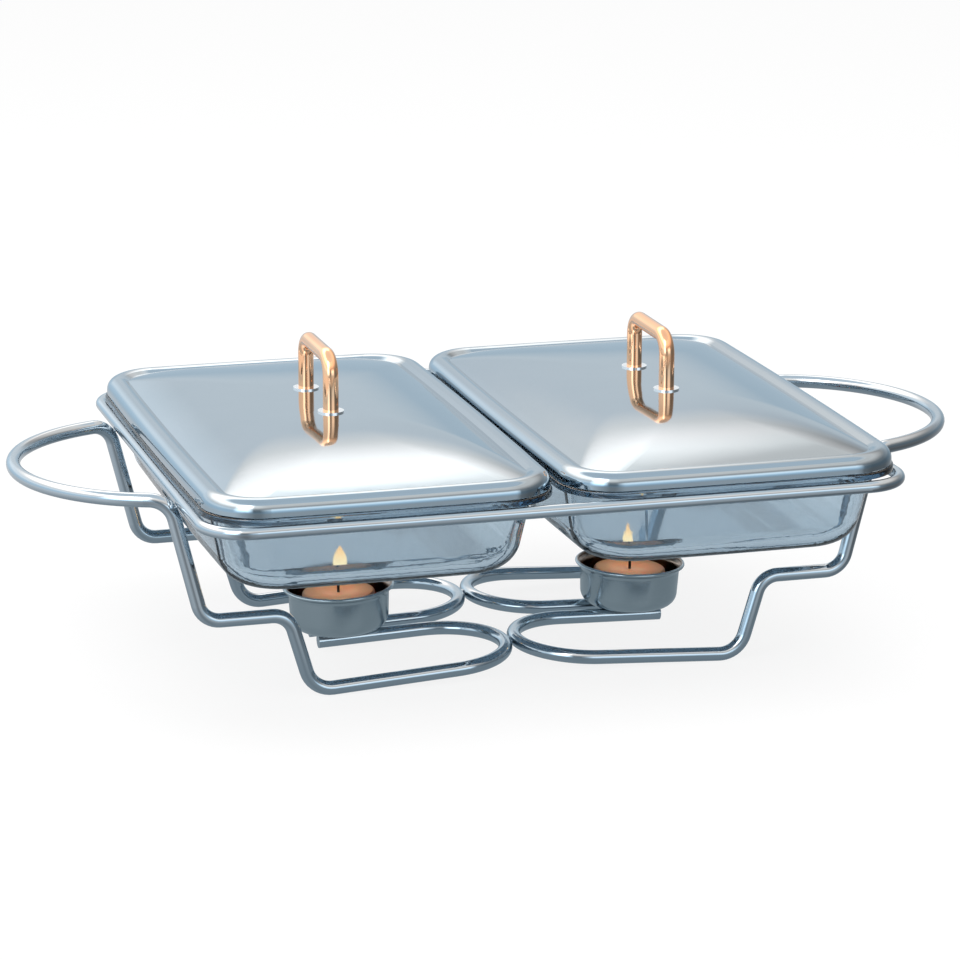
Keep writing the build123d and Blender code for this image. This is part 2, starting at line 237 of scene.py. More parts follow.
class EffectShop:
    """Builds the node group of each shared effect once."""

    BROAD_HAZE = NoiseGrain(3.0, 0.6)
    FINE_HAZE = NoiseGrain(2.0, 0.5)
    FINE_HAZE_SCALE = 11.0
    FINE_HAZE_SHARE = 0.3
    HAZE_RANGE = (0.4, 0.64)
    DRIFT_GRAIN = NoiseGrain(4.0, 0.55)
    DRIFT_RANGE = (0.35, 0.65)
    LINE_GRAIN = NoiseGrain(5.0, 0.7)
    LINE_RANGE = (0.4, 0.6)
    RIPPLE_GRAIN = NoiseGrain(1.0, 0.4)
    TURNED_AXIS = (0.5, 0.5, 0.0)
    TURNED_LEVEL = (1.0, 1.0, 0.0)
    TURNED_WIDTH = 2.0

    @classmethod
    def group(cls, effect: Effect) -> bpy.types.NodeTree:
        """The effect's node group, built at the first call.

        Args:
            effect: The effect.

        Returns:
            The group's tree.
        """
        tree = bpy.data.node_groups.get(effect.value)
        if tree is None:
            tree = bpy.data.node_groups.new(effect.value, "ShaderNodeTree")
            builders: dict[Effect, Callable[[bpy.types.NodeTree], None]] = {
                Effect.HAZE: cls.haze,
                Effect.DRIFT: cls.drift,
                Effect.HAIRLINES: cls.hairlines,
                Effect.RIPPLE: cls.ripple,
                Effect.TURNED: cls.turned,
            }
            builders[effect](tree)
        return tree

    @staticmethod
    def sockets(
        tree: bpy.types.NodeTree, inputs: dict[str, str], outputs: dict[str, str]
    ) -> tuple[NodeBench, dict[str, bpy.types.NodeSocket], bpy.types.Node]:
        """Makes a group's sockets and its end nodes.

        Args:
            tree: The group's node tree.
            inputs: The input sockets' types by name.
            outputs: The output sockets' types by name.

        Returns:
            A bench for the tree, the given inputs by name, and the output node.
        """
        for name, kind in inputs.items():
            tree.interface.new_socket(name=name, in_out="INPUT", socket_type=kind)
        for name, kind in outputs.items():
            tree.interface.new_socket(name=name, in_out="OUTPUT", socket_type=kind)
        bench = NodeBench(tree)
        given = bench.add("NodeGroupInput")
        result = bench.add("NodeGroupOutput")
        return bench, {name: given.outputs[name] for name in inputs}, result

    @classmethod
    def haze(cls, tree: bpy.types.NodeTree) -> None:
        """Wipe marks and dull patches on a polished surface, as a roughness and a mask.

        Args:
            tree: The group's empty tree.
        """
        bench, given, result = cls.sockets(
            tree, {"Scale": FLOAT, "Clear": FLOAT, "Hazy": FLOAT}, {"Roughness": FLOAT, "Mask": FLOAT}
        )
        place = bench.add("ShaderNodeTexCoord").outputs["Object"]
        broad = bench.noise(place, given["Scale"], cls.BROAD_HAZE)
        fine_scale = bench.math("MULTIPLY", given["Scale"], cls.FINE_HAZE_SCALE)
        fine = bench.noise(place, fine_scale, cls.FINE_HAZE)
        broad_part = bench.math("MULTIPLY", broad, 1 - cls.FINE_HAZE_SHARE)
        both = bench.math("MULTIPLY_ADD", fine, cls.FINE_HAZE_SHARE, broad_part)
        mask = bench.share(both, *cls.HAZE_RANGE)
        bench.link(bench.between(mask, given["Clear"], given["Hazy"]), result.inputs["Roughness"])
        bench.link(mask, result.inputs["Mask"])

    @classmethod
    def drift(cls, tree: bpy.types.NodeTree) -> None:
        """A slow change between two near colours.

        Args:
            tree: The group's empty tree.
        """
        bench, given, result = cls.sockets(
            tree, {"First": COLOUR, "Second": COLOUR, "Scale": FLOAT}, {"Color": COLOUR}
        )
        place = bench.add("ShaderNodeTexCoord").outputs["Object"]
        share = bench.share(bench.noise(place, given["Scale"], cls.DRIFT_GRAIN), *cls.DRIFT_RANGE)
        bench.link(bench.mix(share, given["First"], given["Second"]), result.inputs["Color"])

    @classmethod
    def hairlines(cls, tree: bpy.types.NodeTree) -> None:
        """Fine brush lines, drawn out by a stretch along each axis, as a height and a mask.

        Args:
            tree: The group's empty tree.
        """
        bench, given, result = cls.sockets(
            tree, {"Stretch": VECTOR, "Scale": FLOAT}, {"Height": FLOAT, "Mask": FLOAT}
        )
        place = bench.add("ShaderNodeTexCoord").outputs["Object"]
        drawn = bench.vector("MULTIPLY", place, given["Stretch"])
        lines = bench.noise(drawn.outputs[0], given["Scale"], cls.LINE_GRAIN)
        bench.link(lines, result.inputs["Height"])
        bench.link(bench.share(lines, *cls.LINE_RANGE), result.inputs["Mask"])

    @classmethod
    def ripple(cls, tree: bpy.types.NodeTree) -> None:
        """The slight waviness of pressed sheet, plating or glass, as a height.

        Args:
            tree: The group's empty tree.
        """
        bench, given, result = cls.sockets(tree, {"Scale": FLOAT}, {"Height": FLOAT})
        place = bench.add("ShaderNodeTexCoord").outputs["Object"]
        bench.link(bench.noise(place, given["Scale"], cls.RIPPLE_GRAIN), result.inputs["Height"])

    @classmethod
    def turned(cls, tree: bpy.types.NodeTree) -> None:
        """Where a point lies on a turned piece: its radius and height as shares, and how far it faces out.

        Args:
            tree: The group's empty tree.
        """
        bench, _, result = cls.sockets(tree, {}, {"Radius": FLOAT, "Height": FLOAT, "Outward": FLOAT})
        place = bench.add("ShaderNodeTexCoord")
        centred = bench.vector("SUBTRACT", place.outputs["Generated"], cls.TURNED_AXIS)
        level = bench.vector("MULTIPLY", centred.outputs[0], cls.TURNED_LEVEL)
        length = bench.vector("LENGTH", level.outputs[0])
        outward = bench.vector("NORMALIZE", level.outputs[0])
        facing = bench.vector("DOT_PRODUCT", outward.outputs[0], place.outputs["Normal"])
        height = bench.add("ShaderNodeSeparateXYZ", {0: centred.outputs[0]})
        radius = bench.math("MULTIPLY", length.outputs["Value"], cls.TURNED_WIDTH)
        bench.link(radius, result.inputs["Radius"])
        bench.link(height.outputs["Z"], result.inputs["Height"])
        bench.link(facing.outputs["Value"], result.inputs["Outward"])


@dataclass(frozen=True)
class Finish(ABC):
    """A surface finish, which makes one material."""

    name: str

    def material(self) -> bpy.types.Material:
        """The finish's material, made at the first call.

        Returns:
            The material.
        """
        made = bpy.data.materials.get(self.name)
        if made is None:
            made, bench = bare_material(self.name)
            self.paint(bench, made.node_tree.nodes["Principled BSDF"])
        return made

    @abstractmethod
    def paint(self, bench: NodeBench, shader: bpy.types.Node) -> None:
        """Adds the finish's own nodes.

        Args:
            bench: The bench of the material's tree.
            shader: The material's Principled BSDF.
        """

    def put_on(self, piece: bpy.types.Object) -> None:
        """Gives a piece this finish all over.

        Args:
            piece: The piece.
        """
        if not piece.material_slots:
            piece.data.materials.append(self.material())
        for place in piece.material_slots:
            place.material = self.material()

    @staticmethod
    def bump(bench: NodeBench, shader: bpy.types.Node, height: bpy.types.NodeSocket, depth: float) -> None:
        """Raises the surface by a height from 0 to 1, where 1 is a depth in metres."""
        bump = bench.add("ShaderNodeBump", {"Height": height, "Distance": depth, "Strength": 1.0})
        bench.link(bump.outputs[0], shader.inputs["Normal"])


@dataclass(frozen=True)
class PolishedMetal(Finish):
    """Mirror-polished metal or plating with wipe marks and slightly wavy reflections."""

    colour: Colour
    deeper: Colour
    clear: float
    hazy: float
    haze_scale: float = 26.0
    drift_scale: float = 14.0
    ripple_scale: float = 90.0
    ripple_depth: float = 0.004 * MM

    def paint(self, bench: NodeBench, shader: bpy.types.Node) -> None:
        """Adds the colour drift, the haze and the ripple.

        Args:
            bench: The bench of the material's tree.
            shader: The material's Principled BSDF.
        """
        shader.inputs["Metallic"].default_value = 1.0
        colours = {"First": opaque(self.colour), "Second": opaque(self.deeper), "Scale": self.drift_scale}
        polish = {"Scale": self.haze_scale, "Clear": self.clear, "Hazy": self.hazy}
        drift = bench.effect(Effect.DRIFT, colours)
        haze = bench.effect(Effect.HAZE, polish)
        ripple = bench.effect(Effect.RIPPLE, {"Scale": self.ripple_scale})
        bench.link(drift.outputs["Color"], shader.inputs["Base Color"])
        bench.link(haze.outputs["Roughness"], shader.inputs["Roughness"])
        self.bump(bench, shader, ripple.outputs["Height"], self.ripple_depth)


@dataclass(frozen=True)
class BrushedMetal(Finish):
    """Satin metal with fine brush lines."""

    colour: Colour
    dark_line: Colour
    rough: float
    stretch: Point
    line_scale: float = 900.0
    line_depth: float = 0.01 * MM
    haze_spread: float = 0.1
    haze_scale: float = 45.0

    def paint(self, bench: NodeBench, shader: bpy.types.Node) -> None:
        """Adds the brush lines and the haze.

        Args:
            bench: The bench of the material's tree.
            shader: The material's Principled BSDF.
        """
        shader.inputs["Metallic"].default_value = 1.0
        polish = {"Scale": self.haze_scale, "Clear": self.rough, "Hazy": self.rough + self.haze_spread}
        lines = bench.effect(Effect.HAIRLINES, {"Stretch": self.stretch, "Scale": self.line_scale})
        haze = bench.effect(Effect.HAZE, polish)
        colour = bench.mix(lines.outputs["Mask"], self.dark_line, self.colour)
        bench.link(self.shade(bench, colour), shader.inputs["Base Color"])
        bench.link(haze.outputs["Roughness"], shader.inputs["Roughness"])
        self.bump(bench, shader, lines.outputs["Height"], self.line_depth)

    def shade(self, bench: NodeBench, colour: bpy.types.NodeSocket) -> bpy.types.NodeSocket:
        """The brushed colour as it is, for a piece with no painted shade."""
        return colour


@dataclass(frozen=True)
class CupSteel(BrushedMetal):
    """Brushed steel of a spun cup, with a painted warm brown shade on its inside."""

    # painted shade: a darker warm brown where the cup's wall faces its axis, fading in from the low share
    # to the high
    inside_shade: Colour = (0.3, 0.22, 0.17)
    inside_shade_low: float = 0.15
    inside_shade_high: float = -0.25

    def shade(self, bench: NodeBench, colour: bpy.types.NodeSocket) -> bpy.types.NodeSocket:
        """The brushed colour, darkened to a painted warm brown shade where the surface faces the cup's
        axis.
        """
        outward = bench.effect(Effect.TURNED).outputs["Outward"]
        # painted shade mixed in where the wall faces the cup's axis
        return bench.mix(bench.share(outward, self.inside_shade_low, self.inside_shade_high), colour, self.inside_shade)


@dataclass(frozen=True)
class PressedGlass(Finish):
    """Clear pressed glass with a pale blue tint and slightly uneven faces."""

    tint: Colour
    deep_tint: Colour
    refraction: float = 1.47
    clear: float = 0.03
    hazy: float = 0.045
    haze_scale: float = 30.0
    tint_scale: float = 9.0
    ripple_scale: float = 24.0
    ripple_depth: float = 0.003 * MM
    depth_tint: Colour = (0.24, 0.43, 0.56)
    depth_density: float = 105.0

    def paint(self, bench: NodeBench, shader: bpy.types.Node) -> None:
        """Adds the tint, the darker depth, the wipe marks and the unevenness.

        Args:
            bench: The bench of the material's tree.
            shader: The material's Principled BSDF.
        """
        shader.inputs["Transmission Weight"].default_value = 1.0
        shader.inputs["IOR"].default_value = self.refraction
        tints = {"First": opaque(self.tint), "Second": opaque(self.deep_tint), "Scale": self.tint_scale}
        polish = {"Scale": self.haze_scale, "Clear": self.clear, "Hazy": self.hazy}
        inside = {"Color": opaque(self.depth_tint), "Density": self.depth_density}
        drift = bench.effect(Effect.DRIFT, tints)
        haze = bench.effect(Effect.HAZE, polish)
        ripple = bench.effect(Effect.RIPPLE, {"Scale": self.ripple_scale})
        depth = bench.add("ShaderNodeVolumeAbsorption", inside)
        bench.link(depth.outputs[0], bench.tree.nodes["Material Output"].inputs["Volume"])
        bench.link(drift.outputs["Color"], shader.inputs["Base Color"])
        bench.link(haze.outputs["Roughness"], shader.inputs["Roughness"])
        self.bump(bench, shader, ripple.outputs["Height"], self.ripple_depth)


@dataclass(frozen=True)
class CandleWax(Finish):
    """Peach paraffin, glossy and deeper in colour where it has melted round the wick."""

    colour: Colour = (0.86, 0.5, 0.31)
    pale: Colour = (0.9, 0.56, 0.37)
    melted: Colour = (0.84, 0.47, 0.28)
    melt_edge: float = 0.62
    melt_soft: float = 0.3
    wet: float = 0.34
    dry: float = 0.5
    drift_scale: float = 120.0
    grain_scale: float = 420.0
    grain_depth: float = 0.06 * MM
    glow: float = 0.35
    glow_reach: float = 4.0 * MM

    def paint(self, bench: NodeBench, shader: bpy.types.Node) -> None:
        """Adds the two tones of the wax, the melted pool and the grain of the wax.

        Args:
            bench: The bench of the material's tree.
            shader: The material's Principled BSDF.
        """
        shader.inputs["Subsurface Weight"].default_value = self.glow
        shader.inputs["Subsurface Scale"].default_value = self.glow_reach
        tones = {"First": opaque(self.colour), "Second": opaque(self.pale), "Scale": self.drift_scale}
        drift = bench.effect(Effect.DRIFT, tones)
        radius = bench.effect(Effect.TURNED).outputs["Radius"]
        pool = bench.share(radius, self.melt_edge, self.melt_edge - self.melt_soft)
        ripple = bench.effect(Effect.RIPPLE, {"Scale": self.grain_scale})
        bench.link(bench.mix(pool, drift.outputs["Color"], self.melted), shader.inputs["Base Color"])
        bench.link(bench.between(pool, self.dry, self.wet), shader.inputs["Roughness"])
        self.bump(bench, shader, ripple.outputs["Height"], self.grain_depth)


@dataclass(frozen=True)
class WickCotton(Finish):
    """Twisted cotton, waxed at the bottom and charred at the tip."""

    waxed: Colour = (0.5, 0.4, 0.3)
    charred: Colour = (0.012, 0.01, 0.009)
    char_low: float = 0.35
    char_high: float = 0.7
    twist: Point = (1.0, 1.0, 0.6)
    twist_scale: float = 2600.0
    twist_depth: float = 0.12 * MM
    rough: float = 0.8
    rough_fibre: float = 0.95

    def paint(self, bench: NodeBench, shader: bpy.types.Node) -> None:
        """Adds the char towards the tip and the fibres.

        Args:
            bench: The bench of the material's tree.
            shader: The material's Principled BSDF.
        """
        height = bench.effect(Effect.TURNED).outputs["Height"]
        fibres = bench.effect(Effect.HAIRLINES, {"Stretch": self.twist, "Scale": self.twist_scale})
        char = bench.share(height, self.char_low, self.char_high)
        rough = bench.between(fibres.outputs["Mask"], self.rough, self.rough_fibre)
        bench.link(bench.mix(char, self.waxed, self.charred), shader.inputs["Base Color"])
        bench.link(rough, shader.inputs["Roughness"])
        self.bump(bench, shader, fibres.outputs["Height"], self.twist_depth)


@dataclass(frozen=True)
class FlameGlow(Finish):
    """A small candle flame: blue at its root, near white in the middle and orange at the tip."""

    root: Colour = (0.25, 0.32, 0.6)
    heart: Colour = (1.0, 0.66, 0.3)
    tip: Colour = (1.0, 0.45, 0.12)
    heart_low: float = 0.05
    heart_high: float = 0.3
    tip_low: float = 0.5
    tip_high: float = 1.0
    strength: float = 3.8
    thin: float = 0.3
    dense: float = 0.9

    def paint(self, bench: NodeBench, shader: bpy.types.Node) -> None:
        """Adds the colours along the flame and its thin root.

        Args:
            bench: The bench of the material's tree.
            shader: The material's Principled BSDF.
        """
        shader.inputs["Base Color"].default_value = opaque(BLACK)
        shader.inputs["Specular IOR Level"].default_value = 0.0
        shader.inputs["Emission Strength"].default_value = self.strength
        height = bench.effect(Effect.TURNED).outputs["Height"]
        rise = bench.share(height, self.heart_low, self.heart_high)
        end = bench.share(height, self.tip_low, self.tip_high)
        colour = bench.mix(end, bench.mix(rise, self.root, self.heart), self.tip)
        bench.link(colour, shader.inputs["Emission Color"])
        bench.link(bench.between(rise, self.thin, self.dense), shader.inputs["Alpha"])


CHROME = PolishedMetal("polished_chrome", (0.455, 0.52, 0.57), (0.42, 0.485, 0.535), clear=0.08, hazy=0.14)
LID_STEEL = PolishedMetal(
    "mirror_lid_steel", (0.35, 0.425, 0.485), (0.33, 0.41, 0.47), clear=0.06, hazy=0.09,
    haze_scale=11.0, ripple_scale=22.0, ripple_depth=0.008 * MM,
)
ROSE_GOLD = PolishedMetal(
    "rose_gold_plate", (1.0, 0.57, 0.33), (0.95, 0.49, 0.27), clear=0.04, hazy=0.08, haze_scale=60.0
)
WASHER_STEEL = PolishedMetal(
    "bright_washer_steel", (0.93, 0.93, 0.93), (0.87, 0.88, 0.89), clear=0.12, hazy=0.2, haze_scale=120.0
)
SCREW_STEEL = BrushedMetal("zinc_screw_steel", (0.62, 0.64, 0.66), (0.5, 0.52, 0.54), 0.24, (1.0, 0.1, 1.0))
TAB_TIN = BrushedMetal("wick_tab_tin", (0.72, 0.72, 0.74), (0.6, 0.6, 0.62), 0.22, (0.1, 1.0, 1.0))
CUP_STEEL = CupSteel(
    "spun_cup_steel", (0.46, 0.52, 0.55), (0.44, 0.5, 0.53), 0.18, (0.03, 0.03, 1.0),
    line_scale=3600.0, line_depth=0.0006 * MM, haze_spread=0.03,
)
DISH_GLASS = PressedGlass("pale_blue_glass", (0.97, 0.985, 0.99), (0.94, 0.97, 0.985))
WAX = CandleWax("peach_wax")
COTTON = WickCotton("charred_cotton")
FLAME = FlameGlow("candle_flame")


class MeshShop:
    """Makes mesh pieces out of sheets and rings of points."""

    @staticmethod
    def piece(
        name: str, points: Sequence[Sequence[float]], faces: Sequence[tuple[int, ...]]
    ) -> bpy.types.Object:
        """Makes a piece of points and faces.

        Args:
            name: The piece's name.
            points: The points.
            faces: The numbers of each face's points.

        Returns:
            The piece, linked to the scene.
        """
        mesh = bpy.data.meshes.new(name)
        mesh.from_pydata([tuple(point) for point in points], [], faces)
        mesh.update()
        made = bpy.data.objects.new(name, mesh)
        bpy.context.scene.collection.objects.link(made)
        return made

    @classmethod
    def sheet(cls, name: str, wide: float, deep: float) -> bpy.types.Object:
        """A flat sheet round the origin, from half its width and half its depth."""
        corners = [(-wide, -deep, 0), (wide, -deep, 0), (wide, deep, 0), (-wide, deep, 0)]
        return cls.piece(name, corners, [(0, 1, 2, 3)])

    @classmethod
    def rings(
        cls, name: str, rings: Sequence[Sequence[Vector]], start: Vector, end: Vector
    ) -> bpy.types.Object:
        """Joins rings of points into one smooth closed piece.

        Args:
            name: The piece's name.
            rings: Rings with the same count of points each, from one end to the other.
            start: The point that closes the first ring.
            end: The point that closes the last ring.

        Returns:
            The piece, linked to the scene.
        """
        count = len(rings[0])
        points = [point for ring in rings for point in ring] + [start, end]
        faces: list[tuple[int, ...]] = []
        for row in range(len(rings) - 1):
            for spot in range(count):
                beside = (spot + 1) % count
                low, high = row * count, (row + 1) * count
                faces.append((low + spot, low + beside, high + beside, high + spot))
        first, last = len(points) - 2, len(points) - 1
        top = (len(rings) - 1) * count
        for spot in range(count):
            beside = (spot + 1) % count
            faces.append((first, beside, spot))
            faces.append((last, top + spot, top + beside))
        made = cls.piece(name, points, faces)
        made.data.shade_smooth()
        return made

    @classmethod
    def turned(
        cls, name: str, base: Vector, along: Vector, profile: Profile, count: int,
        wobble: Callable[[float, float], float] | None = None,
    ) -> bpy.types.Object:
        """Turns a profile round an axis.

        Args:
            name: The piece's name.
            base: The point on the axis at height zero.
            along: The axis.
            profile: Radius and height in metres from the bottom to the top; both ends are closed.
            count: The points round the axis.
            wobble: The radius's share for an angle and a height share, where the piece isn't quite round.

        Returns:
            The piece, linked to the scene.
        """
        axis = along.normalized()
        side = axis.orthogonal().normalized()
        other = axis.cross(side)
        rings = []
        for row, (radius, height) in enumerate(profile):
            ring = []
            for spot in range(count):
                angle = math.tau * spot / count
                reach = radius * (wobble(angle, row / len(profile)) if wobble else 1.0)
                out = side * reach * math.cos(angle) + other * reach * math.sin(angle)
                ring.append(base + axis * height + out)
            rings.append(ring)
        return cls.rings(name, rings, base + axis * profile[0][1], base + axis * profile[-1][1])


@dataclass
class Stand:
    """The chromed wire stand: its top ring, two leg wires, candle cups and the welds between them."""

    ring_weld_x: float = 175.4 * MM
    ring_weld_y: float = 76.0 * MM
    ring_weld_z: float = 100.8 * MM
    turn_weld_y: float = 42.75 * MM
    turn_weld_z: float = 9.1 * MM
    cup_weld_x: tuple[float, float] = (68.0 * MM, 85.0 * MM)
    cup_weld_y: float = 9.5 * MM
    cup_weld_z: float = 9.9 * MM
    ring_weld_size: tuple[float, float] = (2.6 * MM, 1.0 * MM)
    turn_weld_size: tuple[float, float] = (3.4 * MM, 1.9 * MM)
    cup_weld_size: tuple[float, float] = (3.0 * MM, 1.5 * MM)
    ripples: int = 5
    ripple_share: float = 0.03
    rows: int = 21
    count: int = 20

    def build(self) -> list[bpy.types.Object]:
        """Makes the weld beads.

        Returns:
            The new pieces.
        """
        along_x, along_y = Vector((1, 0, 0)), Vector((0, 1, 0))
        beads = []
        for end in End:
            for face in Face:
                across = face.value * self.ring_weld_y
                centre = Vector((end.sign * self.ring_weld_x, across, self.ring_weld_z))
                name = end.named(face.named("ring_weld"))
                beads.append(self.bead(name, centre, along_y, self.ring_weld_size))
                for number, reach in enumerate(self.cup_weld_x, 1):
                    centre = Vector((end.sign * reach, face.value * self.cup_weld_y, self.cup_weld_z))
                    name = end.named(face.named(f"cup_weld_{number}"))
                    beads.append(self.bead(name, centre, along_x, self.cup_weld_size))
        for face in Face:
            centre = Vector((0, face.value * self.turn_weld_y, self.turn_weld_z))
            beads.append(self.bead(face.named("turn_weld"), centre, along_y, self.turn_weld_size))
        return beads

    def bead(self, name: str, centre: Vector, along: Vector, size: tuple[float, float]) -> bpy.types.Object:
        """Makes one weld bead with the ripples of its cooled metal.

        Args:
            name: The bead's name.
            centre: Its middle.
            along: The direction that the weld runs in.
            size: Half its length and its radius.

        Returns:
            The bead, riding on the stand.
        """
        half, radius = size
        profile = []
        for row in range(1, self.rows):
            place = -1 + 2 * row / self.rows
            ripple = 1 + self.ripple_share * math.cos(self.ripples * math.pi * place)
            profile.append((radius * math.sqrt(1 - place * place) * ripple, half * place))
        piece = MeshShop.turned(name, centre, along, profile, self.count)
        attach(piece, "stand")
        return piece

    def dress(self, beads: Sequence[bpy.types.Object]) -> None:
        """Gives the rods, the beads and the cups their finishes.

        Args:
            beads: The weld beads.
        """
        for node in ("top_ring", "left_leg_wire", "right_leg_wire"):
            CHROME.put_on(frame["nodes"][node])
        for bead in beads:
            CHROME.put_on(bead)
        for end in End:
            CUP_STEEL.put_on(frame["nodes"][end.named("candle_cup")])


@dataclass
class Dish:
    """One pressed glass dish, which hangs in the ring by its rim."""

    end: End

    def dress(self) -> None:
        """Gives the dish its glass."""
        DISH_GLASS.put_on(frame["nodes"][self.end.named("dish")])


@dataclass
class Lid:
    """One pressed steel lid with its bow handle, washers and screws."""

    end: End

    def dress(self) -> None:
        """Gives the lid's pieces their finishes."""
        finishes: dict[str, Finish] = {
            "lid_shell": LID_STEEL,
            "lid_handle": ROSE_GOLD,
            "handle_washers": WASHER_STEEL,
            "inner_washers": WASHER_STEEL,
            "handle_screws": SCREW_STEEL,
        }
        for piece, finish in finishes.items():
            finish.put_on(frame["nodes"][self.end.named(piece)])


@dataclass
class Candle:
    """One tea light: wax with a melted pool, wick, tab and flame."""

    end: End
    radius: float = 18.5 * MM
    edge_round: float = 1.6 * MM
    edge_steps: int = 6
    pool_radius: float = 13.5 * MM
    pool_depth: float = 1.3 * MM
    pool_rows: int = 12
    wick_rise: float = 0.5 * MM
    wick_rise_power: int = 6
    wobble_share: float = 0.012
    wobble_lobes: tuple[int, int] = (3, 2)
    wobble_turn: float = 0.7
    count: int = 72
    flame_height: float = 15.5 * MM
    flame_radius: float = 3.6 * MM
    flame_start: float = 2.2 * MM
    flame_count: int = 28
    flame_keep: float = 0.3
    glow_rise: float = 8.0 * MM
    glow_power: float = 0.0035
    glow_colour: Colour = (1.0, 0.66, 0.38)
    glow_radius: float = 2.0 * MM
    flame_shares: tuple[tuple[float, float], ...] = (
        (0.2, 0.0), (0.42, 0.06), (0.62, 0.14), (0.81, 0.24), (0.94, 0.34), (1.0, 0.44), (0.97, 0.54),
        (0.88, 0.63), (0.74, 0.72), (0.57, 0.8), (0.4, 0.87), (0.24, 0.93), (0.1, 0.98),
    )

    @property
    def axis(self) -> Vector:
        """The cup's axis, which the candle lifts along."""
        axes = {joint["name"]: joint["axis"] for joint in frame["joints"]}
        return Vector(axes[self.end.named("candle_lift")]).normalized()

    def build(self) -> list[bpy.types.Object]:
        """Makes the wax and the flame."""
        return [self.wax(), self.flame()]

    def wax(self) -> bpy.types.Object:
        """Makes the wax with its rounded edge and the pool melted round the wick.

        Returns:
            The wax, in place of its plain disc.
        """
        low, high = (Vector(corner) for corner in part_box(self.end.named("candle_wax")))
        middle = (low + high) / 2
        tilt = abs(self.axis.x)
        half = ((high.z - low.z) - 2 * self.radius * tilt) / (2 * self.axis.z)
        profile = self.wax_profile(half)
        piece = MeshShop.turned(
            self.end.named("wax_body"), middle, self.axis, profile, self.count, self.uneven
        )
        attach(piece, self.end.named("candle"))
        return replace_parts(piece, self.end.named("candle_wax"))

    def wax_profile(self, half: float) -> Profile:
        """The wax's outline from its underside round the edge to the foot of the wick.

        Args:
            half: Half its height.

        Returns:
            Radius and height of each point.
        """
        profile = [(self.radius - self.edge_round, -half), (self.radius, -half + self.edge_round)]
        profile.append((self.radius, 0.0))
        for step in range(self.edge_steps + 1):
            angle = math.pi / 2 * step / self.edge_steps
            out = self.radius - self.edge_round * (1 - math.cos(angle))
            profile.append((out, half - self.edge_round * (1 - math.sin(angle))))
        for row in range(1, self.pool_rows):
            share = 1 - row / self.pool_rows
            fall = 0.5 * (1 + math.cos(math.pi * min(1.0, share * self.radius / self.pool_radius)))
            rise = self.wick_rise * (1 - share) ** self.wick_rise_power
            profile.append((share * (self.radius - self.edge_round), half - self.pool_depth * fall + rise))
        return profile

    def uneven(self, angle: float, height: float) -> float:
        """How far the wax is from round.

        Args:
            angle: The angle round the axis.
            height: The height along the profile as a share.

        Returns:
            The radius's share.
        """
        first, second = self.wobble_lobes
        turn = self.end.sign * self.wobble_turn
        wave = math.sin(first * angle + turn) * math.cos(second * angle)
        return 1 - self.wobble_share * height * (0.5 + 0.5 * wave)

    def flame(self) -> bpy.types.Object:
        """Makes the flame on the wick's tip.

        Returns:
            The flame.
        """
        low, high = (Vector(corner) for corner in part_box(self.end.named("wick")))
        base = Vector(((low.x + high.x) / 2, 0.0, high.z - self.flame_start))
        profile = [(self.flame_radius * out, self.flame_height * up) for out, up in self.flame_shares]
        piece = MeshShop.turned(self.end.named("flame"), base, Vector((0, 0, 1)), profile, self.flame_count)
        piece.visible_shadow = False
        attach(piece, self.end.named("candle"))
        self.glow(piece, base + Vector((0, 0, self.glow_rise)))
        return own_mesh(piece, self.end.named("candle_lift"), (0, 0, 1), tuple(base), self.flame_keep)

    def glow(self, flame: bpy.types.Object, place: Vector) -> None:
        """Lights the wax and the cup from inside the flame.

        Args:
            flame: The flame, which carries the light.
            place: The light's middle.
        """
        light = bpy.data.lights.new(self.end.named("flame_glow"), "POINT")
        light.energy = self.glow_power
        light.color = self.glow_colour
        light.shadow_soft_size = self.glow_radius
        lamp = bpy.data.objects.new(light.name, light)
        bpy.context.scene.collection.objects.link(lamp)
        lamp.parent = flame
        lamp.location = place
        lamp.visible_camera = False
        lamp.visible_glossy = False
        lamp.visible_transmission = False

    def dress(self, pieces: Sequence[bpy.types.Object]) -> None:
        """Gives the wax, the flame, the wick and its tab their finishes.

        Args:
            pieces: The wax and the flame.
        """
        wax, flame = pieces
        WAX.put_on(wax)
        FLAME.put_on(flame)
        COTTON.put_on(frame["nodes"][self.end.named("wick")])
        TAB_TIN.put_on(frame["nodes"][self.end.named("wick_tab")])


